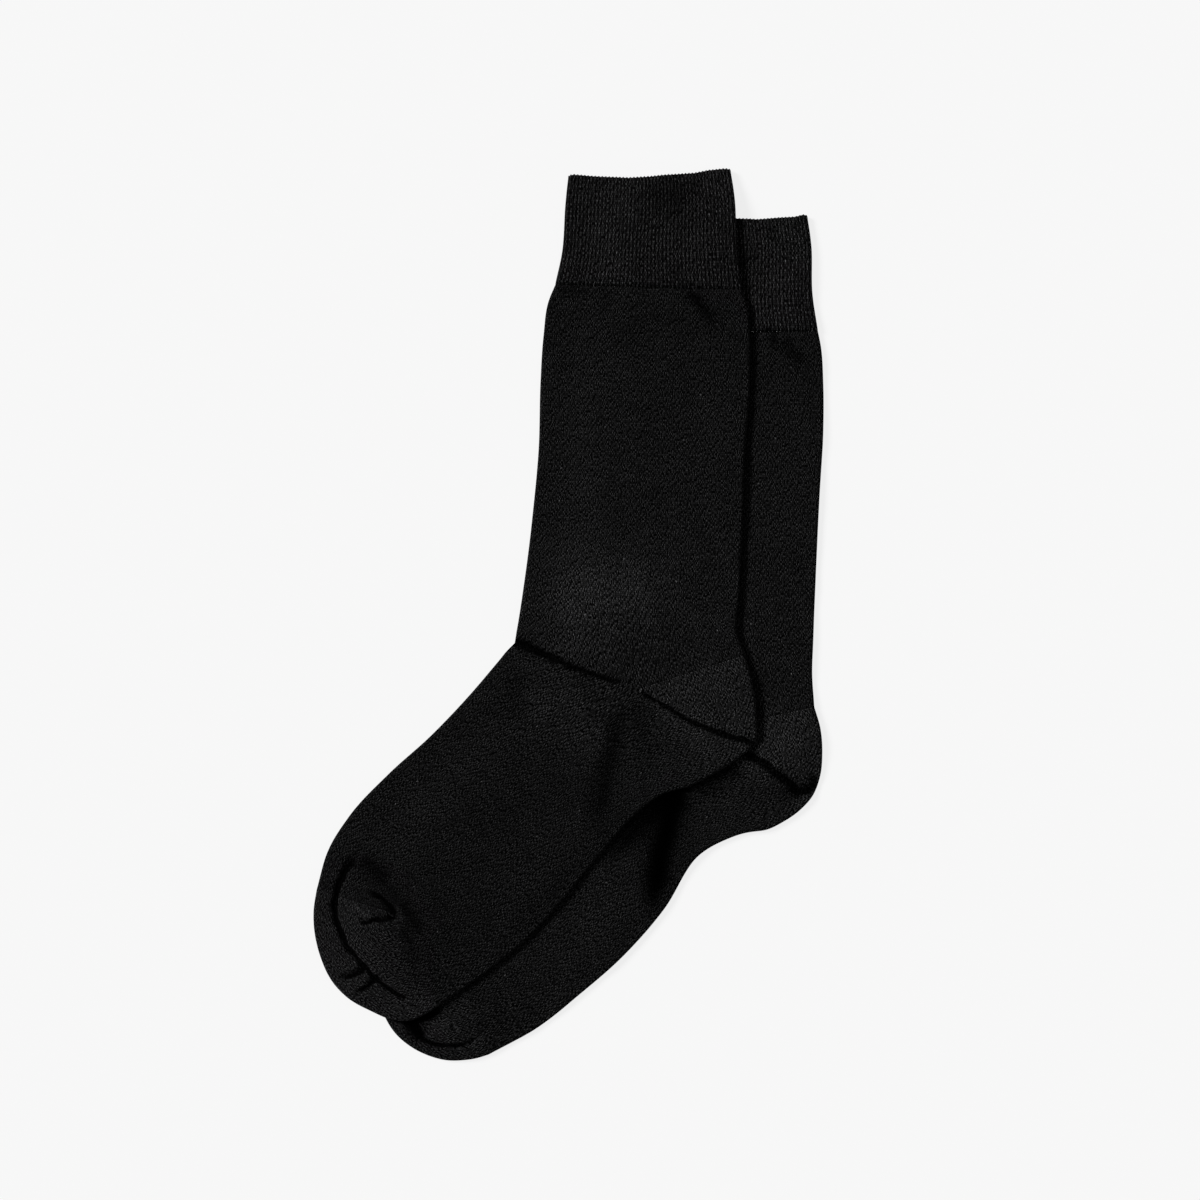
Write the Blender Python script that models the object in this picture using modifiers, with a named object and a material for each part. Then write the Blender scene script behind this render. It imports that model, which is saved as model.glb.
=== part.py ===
"""A pair of plain mid-calf dress socks, lying flat, one partly on the other.

Each sock is the knitted tube that it is made as: a ribbed cuff turned double, a leg, a heel pocket,
a foot and a toe pocket. Every piece is an open knitted surface that Solidify gives its wall.
The pair lies on the plane z = 0, cuffs towards +Y, with the origin below the middle of its box.
"""
import math

import bmesh
import bpy
import numpy as np

MM = 0.001

# Driving dimensions, in metres.
WALL = 1.0 * MM              # knitted wall of leg, foot, heel and toe
CUFF_WALL = 1.3 * MM         # the cuff's cloth is turned double
FLAT = 3.0 * MM              # a pressed sock: two walls and the air between them
CUFF_FLAT = 3.5 * MM
THINNEST = 2.4 * MM          # no fold presses the two layers closer than this
SEAM = 0.35 * MM             # gap between neighbouring pieces
POCKET_TIP = 1.6 * MM        # where a pocket's narrow end stops short of its gore's corner
CLEARANCE = 0.6 * MM         # air between the two socks
DRAPE_HELD = 6.0 * MM        # the upper sock stays up this far past the lower sock's edge
DRAPE_FALL = 11.0 * MM       # and then comes down over this run
CUFF_CLIMB = 8.0 * MM        # run over which the upper sock climbs on to the lower one's cuff
TUBE_CELLS = 6               # cells from the middle of a tube's layer to its folded edge
OUTLINE_CELLS = 2            # cells of the outline between two sections of a table
FOLD_ANGLES = (30, 60, 90)   # facets that round a folded edge, in degrees
# A pocket's rings, by their distance in millimetres from its folded edge, closest where its folds run.
POCKET_RINGS = (3.5, 6.0, 8.5, 11.0, 13.5, 16.0, 19.0, 24.0, 31.0)

BLACK_RIB = (0.0085, 0.0085, 0.0088)
BLACK_KNIT = (0.0068, 0.0068, 0.0070)
BLACK_HEEL = (0.0105, 0.0105, 0.0108)
ROUGHNESS = 0.9

# One row per section, in millimetres: the folded edge on the instep side, the middle of the layer and
# the folded edge on the sole side. A section is two straight halves that meet in the middle.
SECTION_COLUMNS = ("name", "instep_x", "instep_y", "middle_x", "middle_y", "sole_x", "sole_y")
SECTION_POINTS = (("instep_x", "instep_y"), ("middle_x", "middle_y"), ("sole_x", "sole_y"))
# A heel_rim or toe_rim has one row per point of a pocket's folded edge: x and y in millimetres, clockwise.
# One row per soft swelling: centre, reach along its own axis and across it, in millimetres, the axis's
# turn from +X in degrees, and how much thicker the sock lies there, in millimetres.
SWELL_COLUMNS = ("name", "x", "y", "along", "across", "turn", "height")
# One row per fold: depth and half width in millimetres, then its path, x and y in millimetres.
FOLD_COLUMNS = ("name", "depth", "half_width", "path")
FOLD_FADE = 1 / 6            # a fold comes and goes over this share of its length

UPPER = {
    "cuff": (
        ("top edge", 0.0, 220.0, 41.0, 218.0, 81.0, 223.0),
        ("upper rib", -1.5, 204.5, 41.0, 203.0, 83.0, 207.0),
        ("lower rib", -3.0, 182.0, 40.0, 181.5, 84.0, 184.0),
        ("hem", -6.0, 165.5, 40.0, 163.5, 86.0, 162.5),
    ),
    "leg": (
        ("below cuff", -6.5, 165.0, 40.0, 163.0, 86.3, 162.0),
        ("swell", -10.0, 156.5, 40.0, 154.0, 89.0, 154.5),
        ("calf", -12.5, 139.5, 39.0, 138.5, 90.5, 138.0),
        ("mid calf", -14.0, 116.5, 38.0, 115.5, 90.5, 114.5),
        ("low calf", -15.0, 82.0, 36.5, 81.0, 88.0, 79.5),
        ("shin", -18.0, 49.5, 34.0, 48.0, 87.0, 47.0),
        ("above ankle", -22.0, 17.0, 32.0, 12.0, 85.0, 7.0),
        ("ankle top", -25.0, -3.0, 33.0, -14.0, 84.0, -9.0),
        ("ankle lip", -26.5, -11.5, 34.0, -34.0, 87.3, -18.0),
        ("ankle", -27.0, -14.5, 34.5, -37.5, 88.0, -20.5),
    ),
    "foot": (
        ("ankle", -27.0, -14.5, 34.5, -37.5, 61.0, -86.0),
        ("below ankle", -29.5, -17.0, 31.5, -40.0, 59.0, -86.6),
        ("instep", -35.0, -23.5, 16.0, -54.0, 48.0, -89.5),
        ("arch", -49.0, -40.0, -4.0, -73.0, 33.0, -100.5),
        ("waist", -69.0, -61.0, -26.0, -94.0, 14.0, -122.0),
        ("ball", -90.0, -80.0, -47.0, -113.5, -6.0, -146.5),
        ("knuckles", -110.0, -101.5, -67.0, -134.0, -28.0, -168.5),
        ("toe roots", -121.0, -120.0, -80.0, -143.0, -49.0, -184.5),
        ("toe line", -126.0, -138.0, -88.0, -149.0, -66.0, -196.5),
    ),
    "heel_rim": (
        (88.0, -20.5), (91.5, -33.0), (93.5, -46.0), (94.0, -55.0), (94.0, -61.0), (93.0, -64.5),
        (90.5, -67.5), (85.5, -71.5), (74.0, -79.0), (61.0, -86.0),
    ),
    "toe_rim": (
        (-66.0, -196.5), (-71.0, -199.5), (-79.0, -203.0), (-88.0, -202.5), (-99.0, -198.0),
        (-110.0, -192.0), (-118.0, -184.0), (-124.0, -172.0), (-127.0, -160.0), (-127.5, -148.0),
        (-126.0, -138.0),
    ),
    "swells": (
        ("front of the ankle", 8.0, -8.0, 34.0, 17.0, -20.0, 1.6),
        ("below the ankle", -4.0, -50.0, 34.0, 20.0, -35.0, 1.1),
        ("upper heel", 74.0, -36.0, 24.0, 12.0, -15.0, 2.2),
        ("lower heel", 66.0, -63.0, 20.0, 13.0, -20.0, 1.6),
        ("toe lobe", -94.0, -172.0, 26.0, 13.0, -52.0, 2.6),
        ("toe rim", -113.0, -174.0, 26.0, 9.0, -62.0, 1.4),
    ),
    "folds": (
        ("ankle", 1.8, 2.0, ((-27.0, -14.5), (-6.0, -23.5), (12.0, -28.0), (30.0, -35.0))),
        ("gore", 2.4, 2.0, ((38.5, -40.0), (53.0, -48.0), (69.0, -56.0), (81.0, -61.0), (90.0, -63.5))),
        ("heel trough", 0.7, 5.0, ((30.0, -42.0), (22.0, -65.0), (16.0, -88.0), (16.0, -107.0))),
        ("toe", 3.0, 2.2, ((-98.0, -116.0), (-107.0, -122.0), (-113.0, -132.0), (-117.0, -147.0),
                           (-112.0, -163.0), (-101.0, -176.0), (-89.0, -187.0), (-81.0, -191.5))),
    ),
}

LOWER = {
    "cuff": (
        ("top edge", 38.0, 197.0, 78.0, 197.0, 119.5, 200.0),
        ("upper rib", 36.0, 182.0, 79.0, 181.0, 121.5, 184.0),
        ("lower rib", 35.0, 160.5, 78.0, 159.5, 122.0, 161.0),
        ("hem", 32.0, 143.0, 78.0, 141.5, 124.5, 142.0),
    ),
    "leg": (
        ("below cuff", 31.5, 142.5, 78.0, 141.0, 124.8, 141.5),
        ("swell", 28.0, 134.0, 77.0, 133.0, 126.3, 134.0),
        ("calf", 25.0, 117.0, 77.0, 116.5, 127.5, 116.0),
        ("mid calf", 24.0, 94.0, 76.0, 93.5, 127.5, 92.0),
        ("low calf", 22.0, 59.5, 74.0, 58.5, 125.5, 57.0),
        ("shin", 19.0, 27.0, 72.0, 25.5, 124.0, 24.5),
        ("above ankle", 16.0, -5.5, 69.0, -10.0, 122.5, -13.0),
        ("ankle top", 13.0, -24.0, 67.0, -36.0, 122.0, -31.0),
        ("ankle lip", 10.5, -33.0, 67.5, -55.5, 122.8, -43.5),
        ("ankle", 10.0, -36.0, 68.0, -58.5, 123.0, -46.5),
    ),
    "foot": (
        ("ankle", 10.0, -36.0, 68.0, -58.5, 92.0, -109.0),
        ("below ankle", 7.5, -38.5, 65.0, -61.0, 90.0, -109.3),
        ("instep", 2.0, -46.0, 48.0, -76.0, 81.0, -112.0),
        ("arch", -13.0, -61.5, 29.0, -94.5, 64.5, -121.5),
        ("waist", -33.0, -82.0, 9.0, -115.5, 48.0, -147.5),
        ("ball", -54.0, -101.5, -13.0, -135.5, 28.0, -170.5),
        ("knuckles", -73.0, -122.5, -34.0, -155.5, 6.0, -190.0),
        ("toe roots", -88.0, -142.5, -48.0, -166.0, -17.0, -208.0),
        ("toe line", -96.0, -160.5, -58.0, -171.5, -40.0, -220.5),
    ),
    "heel_rim": (
        (123.0, -46.5), (126.0, -57.0), (127.0, -69.0), (126.0, -81.0), (122.5, -90.5),
        (116.0, -98.0), (107.5, -104.0), (99.0, -108.0), (92.0, -109.0),
    ),
    "toe_rim": (
        (-40.0, -220.5), (-46.0, -222.3), (-53.0, -223.3), (-61.0, -223.3), (-70.0, -221.0),
        (-79.0, -216.5), (-87.0, -209.5), (-92.0, -201.5), (-95.0, -193.0), (-97.5, -182.0),
        (-98.0, -171.0), (-96.0, -160.5),
    ),
    "swells": (
        ("upper heel", 115.0, -66.0, 13.0, 17.0, -35.0, 1.4),
        ("lower heel", 92.0, -92.0, 17.0, 11.0, 20.0, 2.2),
        ("arch", 22.0, -152.0, 42.0, 12.0, 42.0, 0.8),
        ("toe lobe", -52.0, -208.0, 17.0, 9.0, 5.0, 1.6),
    ),
    "folds": (
        ("gore", 2.2, 2.4, ((93.0, -71.0), (104.0, -77.0), (110.5, -84.5), (115.0, -89.5), (120.0, -88.0))),
        ("arch valley", 1.4, 5.0, ((53.0, -89.0), (51.0, -105.0), (46.0, -122.0), (41.0, -139.0),
                                   (40.0, -150.0))),
        ("toe", 2.2, 2.6, ((-88.0, -203.0), (-74.0, -208.0), (-66.0, -214.0), (-53.0, -215.5),
                           (-42.0, -210.0))),
    ),
}


def section_array(rows):
    """Instep edge, middle and sole edge of each section, in metres."""
    table = [dict(zip(SECTION_COLUMNS, row)) for row in rows]
    return np.array([[[row[name] for name in point] for point in SECTION_POINTS] for row in table]) * MM


def smooth_between(points, spans, cells):
    """A smooth curve through every point, with the given number of cells in each span."""
    points = np.asarray(points, dtype=float)
    knots = np.concatenate(([0.0], np.cumsum(spans)))
    tangents = np.gradient(points, knots, axis=0)
    steps = np.linspace(0.0, 1.0, cells, endpoint=False)
    curve = []
    for index, span in enumerate(spans):
        for step in steps:
            start = (1 + 2 * step) * (1 - step) ** 2 * points[index]
            end = step ** 2 * (3 - 2 * step) * points[index + 1]
            leave = step * (1 - step) ** 2 * span * tangents[index]
            arrive = step ** 2 * (step - 1) * span * tangents[index + 1]
            curve.append(start + end + leave + arrive)
    curve.append(points[-1])
    return np.array(curve)


def lengthwise(sections, cells):
    """More sections between the ones in the table."""
    spans = np.linalg.norm(np.diff(sections.mean(axis=1), axis=0), axis=1)
    flat = smooth_between(sections.reshape(len(sections), 6), spans, cells)
    return flat.reshape(-1, 3, 2)


def around_rim(rim, cells):
    """A smooth run of points along a pocket's folded edge."""
    rim = np.asarray(rim) * MM
    return smooth_between(rim, np.linalg.norm(np.diff(rim, axis=0), axis=1), cells)


def left_of(start, end):
    """Unit vector across a half section, towards the cuff for one that runs from instep to sole."""
    run = (end - start) / np.linalg.norm(end - start)
    return np.array((-run[1], run[0]))


def moved_across(section, distance):
    """A section moved sideways by a distance, towards the cuff where it is positive."""
    instep_side = left_of(section[0], section[1])
    sole_side = left_of(section[1], section[2])
    corner = (instep_side + sole_side) / (1 + instep_side @ sole_side)
    return section + distance * np.array((instep_side, corner, sole_side))


def distance_to_path(points, path):
    """How far each point is from a path, and how far along it its nearest point lies, from 0 to 1."""
    path = np.asarray(path, dtype=float)
    lengths = np.linalg.norm(np.diff(path, axis=0), axis=1)
    before = np.concatenate(([0.0], np.cumsum(lengths)))
    nearest = np.full(len(points), np.inf)
    along = np.zeros(len(points))
    for index, length in enumerate(lengths):
        run = (path[index + 1] - path[index]) / length
        reach = np.clip((points - path[index]) @ run, 0.0, length)
        gap = np.linalg.norm(points - path[index] - reach[:, None] * run, axis=1)
        closer = gap < nearest
        nearest[closer] = gap[closer]
        along[closer] = ((before[index] + reach) / before[-1])[closer]
    return nearest, along


def inside(points, outline):
    """Which points lie inside a closed outline."""
    crossings = np.zeros(len(points), dtype=int)
    for start, end in zip(outline, np.roll(outline, -1, axis=0)):
        spans = (start[1] > points[:, 1]) != (end[1] > points[:, 1])
        rise = end[1] - start[1]
        if rise:
            meets = start[0] + (points[:, 1] - start[1]) / rise * (end[0] - start[0])
            crossings += spans & (points[:, 0] < meets)
    return crossings % 2 == 1


def ease(value):
    """A soft step from 0 to 1."""
    value = np.clip(value, 0.0, 1.0)
    return value * value * (3 - 2 * value)


def swelling(points, sock):
    """Extra thickness of a sock where its pockets and bends stand up."""
    total = np.zeros(len(points))
    for row in sock["swells"]:
        swell = dict(zip(SWELL_COLUMNS, row))
        turn = math.radians(swell["turn"])
        offset = points - np.array((swell["x"], swell["y"])) * MM
        along = offset @ np.array((math.cos(turn), math.sin(turn))) / (swell["along"] * MM)
        across = offset @ np.array((-math.sin(turn), math.cos(turn))) / (swell["across"] * MM)
        total += swell["height"] * MM * np.exp(-along ** 2 - across ** 2)
    return total


def folding(points, sock):
    """How deep the folds press into a sock."""
    total = np.zeros(len(points))
    for row in sock["folds"]:
        fold = dict(zip(FOLD_COLUMNS, row))
        gap, along = distance_to_path(points, np.array(fold["path"]) * MM)
        fading = ease(along / FOLD_FADE) * ease((1 - along) / FOLD_FADE)
        profile = np.exp(-(gap / (fold["half_width"] * MM)) ** 2)
        total = np.maximum(total, fold["depth"] * MM * profile * fading)
    return total


def thickness(points, sock, flat):
    """Height of a sock's top layer above its underside."""
    return np.maximum(flat + swelling(points, sock) - folding(points, sock), THINNEST)


def outline(sock):
    """The outline of a sock laid flat, as one closed loop."""
    cuff = lengthwise(section_array(sock["cuff"]), OUTLINE_CELLS)
    leg = lengthwise(section_array(sock["leg"]), OUTLINE_CELLS)
    foot = lengthwise(section_array(sock["foot"]), OUTLINE_CELLS)
    heel_rim = around_rim(sock["heel_rim"], 1)
    toe_rim = around_rim(sock["toe_rim"], 1)
    sole_side = np.concatenate((cuff[:, 2], leg[:, 2], heel_rim[1:], foot[1:, 2], toe_rim[1:-1]))
    instep_side = np.concatenate((cuff[:, 0], leg[:, 0], foot[1:, 0]))
    return np.concatenate((sole_side, instep_side[::-1]))


def underside(points, support):
    """Height of a sock's underside: the plane, or the sock that it lies on."""
    if support is None:
        return np.zeros(len(points))
    edge = outline(support)
    outside, _ = distance_to_path(points, np.concatenate((edge, edge[:1])))
    outside[inside(points, edge)] = 0.0
    held = ease(1 - (outside - DRAPE_HELD) / DRAPE_FALL)
    below = FLAT + swelling(points, support) + CLEARANCE
    hem = section_array(support["cuff"])[-1, :, 1].mean()
    below += (CUFF_FLAT - FLAT) * ease((points[:, 1] - hem) / CUFF_CLIMB + 1)
    return held * below


def half_layer(inner, rim, sock, support, flat, rings=None):
    """Half a layer's cross section, from its middle over the folded edge and back underneath."""
    run = inner - rim
    length = np.linalg.norm(run)
    radius = thickness(rim[None], sock, flat)[0] / 2
    angles = np.radians((0,) + FOLD_ANGLES)
    rounded = radius * (1 - np.cos(angles))
    if rings is None:
        spread = np.linspace(radius, length, TUBE_CELLS + 1)[1:]
    else:
        spread = np.append(np.array(rings) * MM, length)
    steps = np.concatenate((rounded, spread)) / length
    lift = np.concatenate((np.sin(angles), np.ones(len(spread))))
    points = rim + steps[:, None] * run
    tall = thickness(points, sock, flat)
    low = underside(points, support)
    top = np.column_stack((points, low + tall / 2 * (1 + lift)))
    bottom = np.column_stack((points, low + tall / 2 * (1 - lift)))
    return np.concatenate((top[::-1], bottom[1:]))


def ring(section, sock, support, flat):
    """A closed cross section: over the top from instep to sole, and back underneath."""
    sole = half_layer(section[1], section[2], sock, support, flat)
    instep = half_layer(section[1], section[0], sock, support, flat)[::-1]
    return np.concatenate((sole, instep[1:-1]))


def cloth(name, rows, closed, wall, colour, collection):
    """A knitted piece: a surface lofted through its cross sections, given its wall by Solidify."""
    mesh = bpy.data.meshes.new(name)
    build = bmesh.new()
    grid = [[build.verts.new(point) for point in row] for row in rows]
    columns = len(grid[0]) if closed else len(grid[0]) - 1
    for this_row, next_row in zip(grid, grid[1:]):
        for column in range(columns):
            beside = (column + 1) % len(this_row)
            corners = (this_row[column], next_row[column], next_row[beside], this_row[beside])
            build.faces.new(corners)
    build.to_mesh(mesh)
    build.free()
    mesh.shade_smooth()
    piece = bpy.data.objects.new(name, mesh)
    collection.objects.link(piece)
    shell = piece.modifiers.new("wall", "SOLIDIFY")
    shell.thickness = wall
    shell.offset = -1.0
    shell.use_even_offset = True
    mesh.materials.append(yarn(name, colour))
    return piece


def yarn(name, colour):
    """Matt knitted cotton."""
    material = bpy.data.materials.new(name)
    material.use_nodes = True
    shader = material.node_tree.nodes["Principled BSDF"]
    shader.inputs["Base Color"].default_value = (*colour, 1.0)
    shader.inputs["Roughness"].default_value = ROUGHNESS
    return material


def tube(name, sections, sock, support, flat, wall, colour, collection):
    """A piece knitted in the round."""
    rows = [ring(section, sock, support, flat) for section in sections]
    return cloth(name, rows, True, wall, colour, collection)


def pocket(name, corner, first, last, rim, sock, support, collection):
    """A heel or toe pocket: half sections that fan out from the corner of its gore."""
    rays = [(corner, point) for point in rim]
    rays[0] = first
    rays[-1] = last
    rows = []
    for inner, edge in rays:
        towards = (edge - inner) / np.linalg.norm(edge - inner)
        start = inner + POCKET_TIP * towards
        rows.append(half_layer(start, edge, sock, support, FLAT, POCKET_RINGS))
    return cloth(name, rows, False, WALL, BLACK_HEEL, collection)


def make_sock(side, sock, support, collection):
    """The five pieces of one sock."""
    cuff = lengthwise(section_array(sock["cuff"]), 1)
    leg = lengthwise(section_array(sock["leg"]), 1)
    foot = lengthwise(section_array(sock["foot"]), 1)
    cuff[-1] = moved_across(leg[0], SEAM)
    ankle = leg[-1].copy()
    heel_end = foot[0].copy()
    toe_line = foot[-1].copy()
    leg[-1] = moved_across(ankle, SEAM / 2)
    foot[0] = moved_across(heel_end, -SEAM / 2)
    foot[-1] = moved_across(toe_line, SEAM / 2)

    heel_first = moved_across(ankle, -SEAM / 2)[1:]
    heel_last = moved_across(heel_end, SEAM / 2)[1:]
    toe_start = moved_across(toe_line, -SEAM / 2)
    heel_rim = around_rim(sock["heel_rim"], 1)
    toe_rim = around_rim(sock["toe_rim"], 1)

    tube(side + "_cuff", cuff, sock, support, CUFF_FLAT, CUFF_WALL, BLACK_RIB, collection)
    tube(side + "_leg", leg, sock, support, FLAT, WALL, BLACK_KNIT, collection)
    pocket(side + "_heel", ankle[1], heel_first, heel_last, heel_rim, sock, support, collection)
    tube(side + "_foot", foot, sock, support, FLAT, WALL, BLACK_KNIT, collection)
    pocket(side + "_toe", toe_line[1], toe_start[1:], toe_start[1::-1], toe_rim, sock, support, collection)


def main():
    for thing in list(bpy.data.objects):
        bpy.data.objects.remove(thing, do_unlink=True)
    collection = bpy.data.collections.new("pair_of_socks")
    bpy.context.scene.collection.children.link(collection)
    make_sock("lower", LOWER, None, collection)
    make_sock("upper", UPPER, LOWER, collection)


main()
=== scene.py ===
"""The looks of a pair of plain black mid-calf dress socks, laid flat, one partly on the other.

Each piece is a fine shell on its CAD solid's form. Its columns of points follow the columns of
stitches, so ribs and stitch columns are in the mesh. The stitches themselves are colour and bump,
laid out by a UV map that counts stitches across and along. Their colour also carries painted shade
and painted highlights: in the gaps between stitches and the grooves between ribs, in folds and
hollows, in the shadow beside and under the upper sock, and on the inside of the wall.
"""
import math

import bpy
import numpy as np
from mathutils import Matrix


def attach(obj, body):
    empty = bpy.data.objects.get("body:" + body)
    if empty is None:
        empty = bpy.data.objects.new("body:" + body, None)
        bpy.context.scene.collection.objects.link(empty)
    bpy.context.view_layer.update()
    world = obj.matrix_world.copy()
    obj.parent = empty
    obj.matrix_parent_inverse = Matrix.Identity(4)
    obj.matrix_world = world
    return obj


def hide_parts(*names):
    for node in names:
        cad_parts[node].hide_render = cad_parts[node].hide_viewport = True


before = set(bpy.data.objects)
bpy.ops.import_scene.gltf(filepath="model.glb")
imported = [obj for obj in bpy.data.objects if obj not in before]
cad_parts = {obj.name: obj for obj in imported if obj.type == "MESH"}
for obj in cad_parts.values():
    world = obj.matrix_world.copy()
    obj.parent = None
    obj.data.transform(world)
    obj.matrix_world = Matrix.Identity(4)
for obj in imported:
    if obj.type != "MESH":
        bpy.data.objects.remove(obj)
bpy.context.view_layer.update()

MM = 0.001

# ---------- Sizes, in metres unless a name says otherwise ----------
WALL = 0.8 * MM              # knitted wall of leg, foot, heel and toe
CUFF_WALL = 1.2 * MM         # the cuff's cloth is turned double
FLAT = 3.0 * MM              # a pressed sock: two walls and the air between them
CUFF_FLAT = 3.5 * MM
THINNEST = 1.95 * MM         # no fold presses the two layers closer than this
SOFTEST = 0.12 * MM          # how softly a fold comes to rest on the layer beneath
JOIN = 0.01 * MM             # pieces that are knitted on from each other all but touch
HEM_JOIN = 0.15 * MM         # the cuff ends just short of the leg's first row of stitches
POCKET_TIP = 1.0 * MM        # a pocket begins this far from its gore's inner end
CLEARANCE = 0.4 * MM         # air between the two socks
DRAPE_HELD = 2.0 * MM        # the upper sock stays up this far past the lower sock's edge
DRAPE_FALL = 28.0 * MM       # and then comes down over this run
CUFF_CLIMB = 8.0 * MM        # run over which the upper sock climbs on to the lower one's cuff
CREASE_LIFT = 0.3 * MM       # how far the deepest folds lift the underside
DEEPEST_FOLD = 3.0 * MM
TOP_EDGE_RUN = 9.0 * MM      # a cuff's uneven top edge dies away over this run

WALES_HALF = 48              # stitch columns from the middle of a layer to its folded edge
COURSE = 0.95 * MM           # height of a row of stitches
CUFF_COURSE = 1.15 * MM
WALE_RELIEF = 0.08 * MM      # half the height of a plain stitch column
PLAIN_LIFT = -0.07 * MM      # a plain piece's underside shows the grooves between its columns
RIB_RELIEF = 0.15 * MM       # half the height of a rib
RIB_ROUNDNESS = 0.7          # less than 1 makes a rib's back broader
SCALLOP = 0.22 * MM          # each rib ends this far past the groove beside it

ROW_STEP = 1.2 * MM          # distance between the mesh's rows
POCKET_STEP = 0.8 * MM
PLAIN_DETAIL = (3, 1)        # the mesh's columns to a stitch column, on top and beneath
RIB_DETAIL = (4, 2)
INNER_SKIP = 4               # the inside of the wall has one column for so many outside
INNER_ROW_SKIP = 2
OUTLINE_STEP = 6.0 * MM      # distance between the points of a whole sock's outline
PATH_STEP = 2.0 * MM         # distance between the points of a fold's path
STEEPEST = 0.6               # no layer faces this far the wrong way
SHORTEST = 1e-12             # keeps a normal of no length from dividing by 0

SEED = 11
WAVES = 14
SOFT_WAVES = (16 * MM, 60 * MM)      # lengths of the soft undulations over a whole sock
SOFT_SLOPE = 0.022                   # each one's steepest slope
RAGGED_WAVES = (3 * MM, 11 * MM)     # lengths of the wanderings of a fold's edges
RAGGED_SLOPE = 0.065

FOLD_FLATNESS = 2.6          # more than 2 makes a fold's floor flatter and its sides steeper
SHADE_FLATNESS = 2.0
TRACE_REACH = 2.6            # a fold or shade is lost past so many of its half widths
FOLD_PAINTED_SHADE = 0.88             # share of the colour painted away as shade at the bottom of a deep fold
FOLD_DARKENS = 0.7 * MM      # a fold's painted shade begins at this depth
FOLD_DARK_RUN = 1.7 * MM     # and is darkest this much deeper
INSIDE_PAINTED_SHADE = 0.5            # painted shade: the inside of the wall keeps this share of the colour

# One row per section, in millimetres: the folded edge on the instep side, the middle of the layer and
# the folded edge on the sole side. A section is two straight halves that meet in the middle.
SECTION_COLUMNS = ("name", "instep_x", "instep_y", "middle_x", "middle_y", "sole_x", "sole_y")
SECTION_POINTS = (("instep_x", "instep_y"), ("middle_x", "middle_y"), ("sole_x", "sole_y"))
# A heel_rim or toe_rim has one row per point of a pocket's folded edge: x and y in millimetres, clockwise.
# One row per soft swelling: centre, reach along its own axis and across it, in millimetres, the axis's
# turn from +X in degrees, and how much thicker the sock lies there, in millimetres.
SWELL_COLUMNS = ("name", "x", "y", "along", "across", "turn", "height")
# One row per fold: depth and the half widths at its start and end in millimetres, how far in from each
# end it fades, as a share of its length, then its path in millimetres.
FOLD_COLUMNS = ("name", "depth", "start_width", "end_width", "fade_in", "fade_out", "path")
# One row per painted shade or painted highlight: the share of the colour painted away at its middle
# (less than 0 for a painted highlight, where the cloth catches more light), then the same columns as a fold.
SHADE_COLUMNS = ("name", "loss", "start_width", "end_width", "fade_in", "fade_out", "path")
# One row per point of a cuff's top edge: its x and its rise over a straight edge, in millimetres.
EDGE_COLUMNS = ("x", "rise")

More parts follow.
